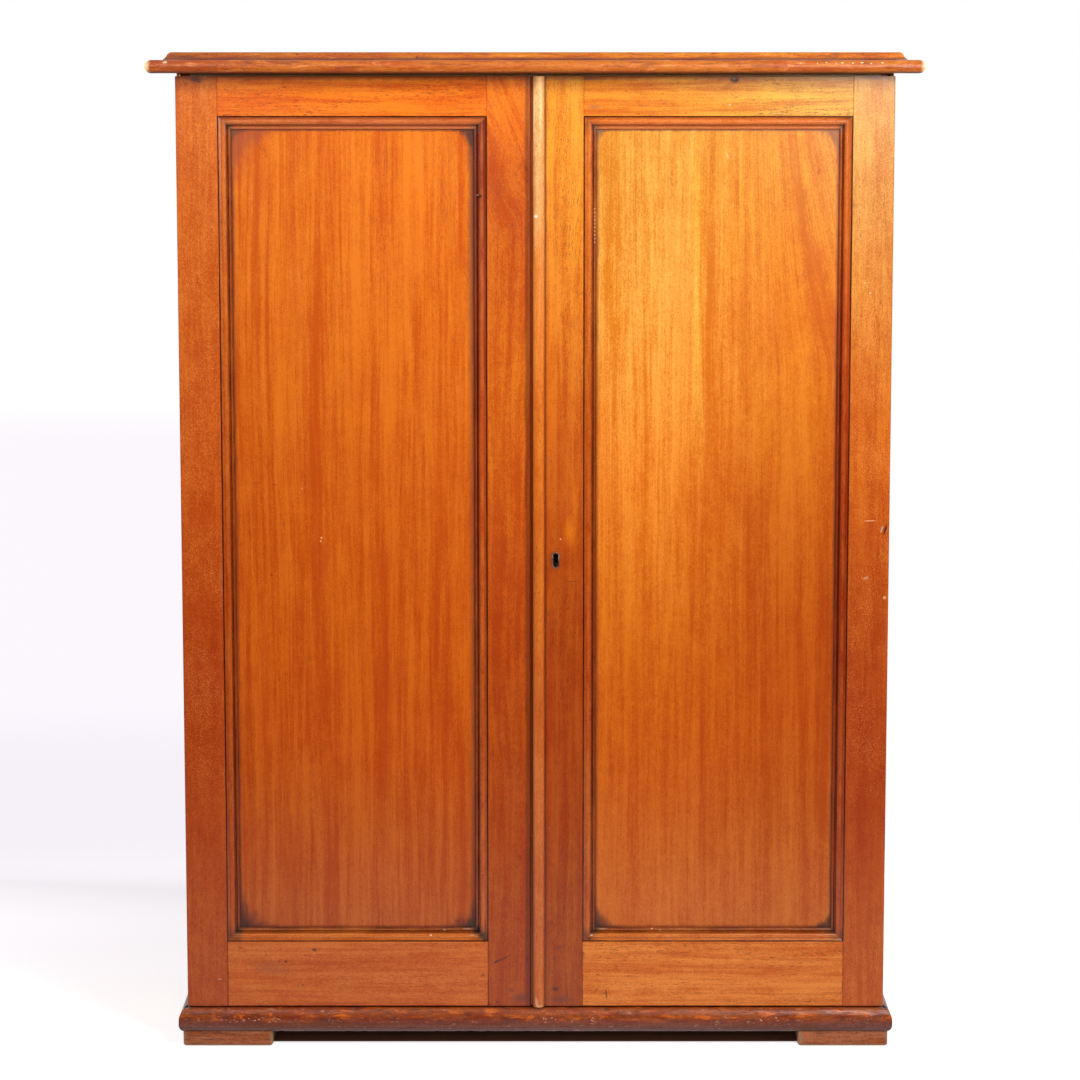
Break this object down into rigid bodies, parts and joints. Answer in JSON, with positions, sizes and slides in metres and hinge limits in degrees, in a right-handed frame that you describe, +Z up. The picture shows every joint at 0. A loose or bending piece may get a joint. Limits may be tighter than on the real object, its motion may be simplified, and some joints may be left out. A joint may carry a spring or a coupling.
{
  "type": "cupboard",
  "caption": "Tall wooden cupboard with two framed and panelled doors, fixed shelves, an overhanging round-edged top, a moulded plinth and low block feet.",
  "frame": {"origin": "bottom centre of the bounding box, on the surface that the feet stand on", "axes": "+Z up, +Y towards the back so that the doors face -Y, +X to the right seen from the front"},
  "size_m": [1.119, 0.4794, 1.4735],
  "materials": {
    "left_door_wood": "French polished, red-brown, worn edges",
    "left_panel_wood": "French polished, striped grain",
    "left_moulding_wood": "French polished, dark in the quirks",
    "right_door_wood": "French polished, golden brown, worn edges",
    "right_panel_wood": "French polished, striped grain",
    "right_moulding_wood": "French polished, dark in the quirks",
    "bead_wood": "French polished, paler, rubbed",
    "top_wood": "French polished, scuffed round edge",
    "crown_wood": "French polished",
    "plinth_wood": "French polished, dark, knocked and scuffed",
    "foot_wood": "worn polish with pale edges",
    "side_wood": "French polished, plain grain",
    "inner_wood": "bare old pine",
    "brass": "dull old brass",
    "keyhole_brass": "darkened brass",
    "lock_iron": "dark old iron",
    "screw_steel": "dull steel"
  },
  "bodies": {
    "carcass": {"side_left": "side_wood", "side_right": "side_wood", "bottom_board": "inner_wood", "top_rail_front": "side_wood", "top_rail_back": "inner_wood", "base_rail_front": "inner_wood", "base_rail_back": "inner_wood", "top_board": "top_wood", "crown_board": "crown_wood", "back_board_1": "inner_wood", "back_board_2": "inner_wood", "back_board_3": "inner_wood", "back_board_4": "inner_wood", "shelf_1": "inner_wood", "shelf_2": "inner_wood", "shelf_3": "inner_wood", "shelf_bearers": "inner_wood", "plinth_front": "plinth_wood", "plinth_left": "plinth_wood", "plinth_right": "plinth_wood", "foot_front_left": "foot_wood", "foot_front_right": "foot_wood", "foot_back_left": "foot_wood", "foot_back_right": "foot_wood", "carcass_hinge_leaves_left": "brass", "carcass_hinge_leaves_right": "brass", "hinge_pins": "brass", "carcass_screws": "screw_steel", "bolt_keepers": "brass"},
    "left_door": {"left_door_hinge_stile": "left_door_wood", "left_door_meeting_stile": "left_door_wood", "left_door_top_rail": "left_door_wood", "left_door_bottom_rail": "left_door_wood", "left_door_panel": "left_panel_wood", "left_door_moulding_top": "left_moulding_wood", "left_door_moulding_bottom": "left_moulding_wood", "left_door_moulding_hinge_side": "left_moulding_wood", "left_door_moulding_meeting_side": "left_moulding_wood", "left_door_hinge_leaves": "brass", "left_door_screws": "screw_steel", "strike_plate": "brass", "slide_bolt_plate_top": "brass", "slide_bolt_plate_bottom": "brass"},
    "right_door": {"right_door_hinge_stile": "right_door_wood", "right_door_meeting_stile": "right_door_wood", "right_door_top_rail": "right_door_wood", "right_door_bottom_rail": "right_door_wood", "right_door_panel": "right_panel_wood", "right_door_moulding_top": "right_moulding_wood", "right_door_moulding_bottom": "right_moulding_wood", "right_door_moulding_hinge_side": "right_moulding_wood", "right_door_moulding_meeting_side": "right_moulding_wood", "right_door_hinge_leaves": "brass", "right_door_screws": "screw_steel", "meeting_bead": "bead_wood", "keyhole_lining": "keyhole_brass", "lock_case": "lock_iron"},
    "lock_bolt": {"lock_bolt": "brass"},
    "top_slide_bolt": {"slide_bolt_rod_top": "brass"},
    "bottom_slide_bolt": {"slide_bolt_rod_bottom": "brass"}
  },
  "joints": [
    {"name": "left_door_hinge", "type": "hinge", "parent": "carcass", "child": "left_door", "pos_m": [-0.515, -0.18825, 0.75], "axis": [0, 0, -1], "range_deg": [0, 180]},
    {"name": "right_door_hinge", "type": "hinge", "parent": "carcass", "child": "right_door", "pos_m": [0.515, -0.18825, 0.75], "axis": [0, 0, 1], "range_deg": [0, 180]},
    {"name": "lock_bolt_slide", "type": "slide", "parent": "right_door", "child": "lock_bolt", "axis": [-1, 0, 0], "range_m": [0, 0.01]},
    {"name": "top_bolt_slide", "type": "slide", "parent": "left_door", "child": "top_slide_bolt", "axis": [0, 0, 1], "range_m": [0, 0.013]},
    {"name": "bottom_bolt_slide", "type": "slide", "parent": "left_door", "child": "bottom_slide_bolt", "axis": [0, 0, -1], "range_m": [0, 0.013]}
  ]
}
